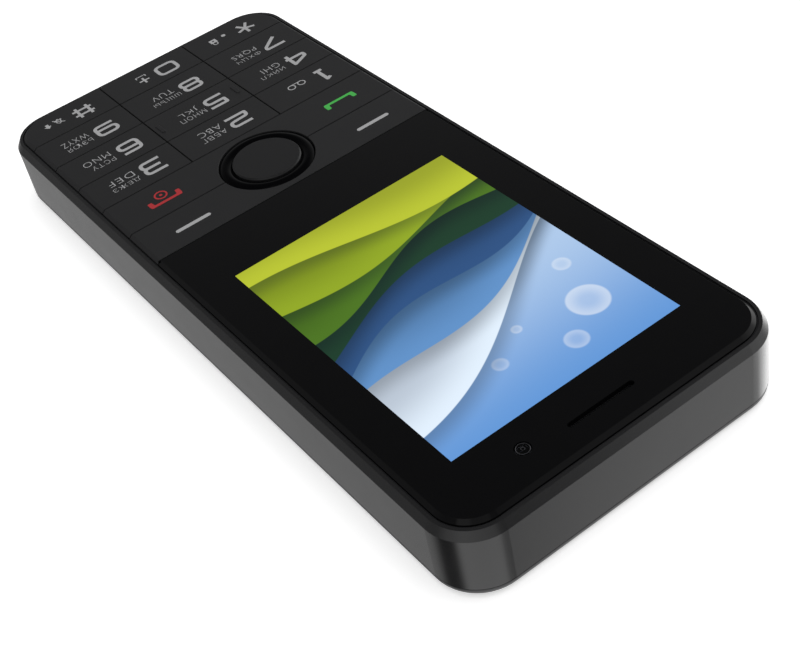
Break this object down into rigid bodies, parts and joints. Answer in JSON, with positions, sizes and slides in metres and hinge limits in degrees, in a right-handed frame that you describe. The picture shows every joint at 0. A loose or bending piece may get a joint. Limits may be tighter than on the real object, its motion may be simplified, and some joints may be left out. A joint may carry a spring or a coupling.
{
  "type": "feature phone",
  "caption": "Slim bar-shaped feature phone with a glossy display lens, matt keypad, navigation ring with centre key, removable rear cover and battery.",
  "frame": {"origin": "middle of the flat back, on the surface it lies on", "axes": "+Z out of the front face, +Y towards the earpiece end, +X to the right seen from the front"},
  "size_m": [0.0522, 0.1234, 0.0121],
  "materials": {
    "housing_black": "satin, painted",
    "lens_black": "polished",
    "keycap_black": "fine matt",
    "ring_black": "polished",
    "centre_key_black": "satin",
    "cover_black": "satin",
    "chassis_black": "moulded",
    "keymat_silicone": "matt",
    "pressed_steel": "rolled",
    "contact_gold": "plated",
    "antenna_copper": "foil",
    "board_green": "solder resist",
    "chip_black": "moulded",
    "lamp_white": "cast",
    "panel_dark": "glass laminate",
    "tray_white": "moulded",
    "foam_black": "open cell",
    "tape_black": "film",
    "ribbon_amber": "film",
    "mesh_black": "woven",
    "camera_glass": "polished",
    "torch_clear": "frosted",
    "device_black": "moulded",
    "battery_wrap": "film wrap"
  },
  "bodies": {
    "handset": {"front_housing": "housing_black", "display_lens": "lens_black", "lens_tape": "tape_black", "earpiece_mesh": "mesh_black", "front_camera_window": "camera_glass", "front_camera": "device_black", "earpiece_speaker": "device_black", "display_panel": "panel_dark", "display_backlight": "tray_white", "display_cushion": "foam_black", "display_flex": "ribbon_amber", "keymat": "keymat_silicone", "dome_sheet": "pressed_steel", "keypad_leds": "lamp_white", "circuit_board": "board_green", "circuit_chips": "chip_black", "radio_shield": "pressed_steel", "processor_shield": "pressed_steel", "sim_holder_1": "pressed_steel", "sim_holder_2": "pressed_steel", "memory_card_holder": "pressed_steel", "battery_contacts": "contact_gold", "usb_socket": "pressed_steel", "headset_jack": "device_black", "microphone": "pressed_steel", "loudspeaker": "device_black", "vibration_motor": "pressed_steel", "rear_camera": "device_black", "torch_led": "lamp_white", "rear_housing": "chassis_black", "speaker_mesh": "mesh_black", "antenna": "antenna_copper", "housing_screws": "pressed_steel"},
    "soft_keys": {"soft_keys": "keycap_black"},
    "call_end_keys": {"call_end_keys": "keycap_black"},
    "key_1": {"key_1": "keycap_black"},
    "key_2": {"key_2": "keycap_black"},
    "key_3": {"key_3": "keycap_black"},
    "key_4": {"key_4": "keycap_black"},
    "key_5": {"key_5": "keycap_black"},
    "key_6": {"key_6": "keycap_black"},
    "key_7": {"key_7": "keycap_black"},
    "key_8": {"key_8": "keycap_black"},
    "key_9": {"key_9": "keycap_black"},
    "key_star": {"key_star": "keycap_black"},
    "key_0": {"key_0": "keycap_black"},
    "key_hash": {"key_hash": "keycap_black"},
    "ok_key": {"ok_key": "centre_key_black"},
    "nav_actuator": {"nav_actuator": "chassis_black"},
    "nav_ring": {"nav_ring": "ring_black"},
    "rear_cover": {"rear_cover": "cover_black", "rear_camera_window": "camera_glass", "torch_lens": "torch_clear"},
    "battery": {"battery": "battery_wrap"}
  },
  "joints": [
    {"name": "soft_keys_rock", "type": "hinge", "parent": "handset", "child": "soft_keys", "pos_m": [0, -0.01438, 0.0107], "axis": [0, 1, 0], "range_deg": [-0.8, 0.8], "stiffness_Nm_per_rad": 1.4},
    {"name": "call_end_keys_rock", "type": "hinge", "parent": "handset", "child": "call_end_keys", "pos_m": [0, -0.0232, 0.0107], "axis": [0, 1, 0], "range_deg": [-0.8, 0.8], "stiffness_Nm_per_rad": 1.4},
    {"name": "key_1_press", "type": "slide", "parent": "handset", "child": "key_1", "axis": [0, 0, -1], "range_m": [0, 0.0003], "stiffness_N_per_m": 4000},
    {"name": "key_2_press", "type": "slide", "parent": "handset", "child": "key_2", "axis": [0, 0, -1], "range_m": [0, 0.0003], "stiffness_N_per_m": 4000},
    {"name": "key_3_press", "type": "slide", "parent": "handset", "child": "key_3", "axis": [0, 0, -1], "range_m": [0, 0.0003], "stiffness_N_per_m": 4000},
    {"name": "key_4_press", "type": "slide", "parent": "handset", "child": "key_4", "axis": [0, 0, -1], "range_m": [0, 0.0003], "stiffness_N_per_m": 4000},
    {"name": "key_5_press", "type": "slide", "parent": "handset", "child": "key_5", "axis": [0, 0, -1], "range_m": [0, 0.0003], "stiffness_N_per_m": 4000},
    {"name": "key_6_press", "type": "slide", "parent": "handset", "child": "key_6", "axis": [0, 0, -1], "range_m": [0, 0.0003], "stiffness_N_per_m": 4000},
    {"name": "key_7_press", "type": "slide", "parent": "handset", "child": "key_7", "axis": [0, 0, -1], "range_m": [0, 0.0003], "stiffness_N_per_m": 4000},
    {"name": "key_8_press", "type": "slide", "parent": "handset", "child": "key_8", "axis": [0, 0, -1], "range_m": [0, 0.0003], "stiffness_N_per_m": 4000},
    {"name": "key_9_press", "type": "slide", "parent": "handset", "child": "key_9", "axis": [0, 0, -1], "range_m": [0, 0.0003], "stiffness_N_per_m": 4000},
    {"name": "key_star_press", "type": "slide", "parent": "handset", "child": "key_star", "axis": [0, 0, -1], "range_m": [0, 0.0003], "stiffness_N_per_m": 4000},
    {"name": "key_0_press", "type": "slide", "parent": "handset", "child": "key_0", "axis": [0, 0, -1], "range_m": [0, 0.0003], "stiffness_N_per_m": 4000},
    {"name": "key_hash_press", "type": "slide", "parent": "handset", "child": "key_hash", "axis": [0, 0, -1], "range_m": [0, 0.0003], "stiffness_N_per_m": 4000},
    {"name": "ok_key_press", "type": "slide", "parent": "handset", "child": "ok_key", "axis": [0, 0, -1], "range_m": [0, 0.0003], "stiffness_N_per_m": 4000},
    {"name": "nav_rock_left_right", "type": "hinge", "parent": "handset", "child": "nav_actuator", "pos_m": [0, -0.01878, 0.0109], "axis": [0, 1, 0], "range_deg": [-2.5, 2.5], "stiffness_Nm_per_rad": 0.2},
    {"name": "nav_rock_up_down", "type": "hinge", "parent": "nav_actuator", "child": "nav_ring", "pos_m": [0, -0.01878, 0.0109], "axis": [1, 0, 0], "range_deg": [-2.5, 2.5], "stiffness_Nm_per_rad": 0.2},
    {"name": "cover_pull_off", "type": "slide", "parent": "handset", "child": "rear_cover", "axis": [0, 0, -1], "range_m": [0, 0.03]},
    {"name": "battery_lift_out", "type": "slide", "parent": "handset", "child": "battery", "axis": [0, 0, -1], "range_m": [0, 0.015]}
  ],
  "couplings": [
    {"joint": "battery_lift_out", "follows": "cover_pull_off", "ratio": 0.5}
  ]
}
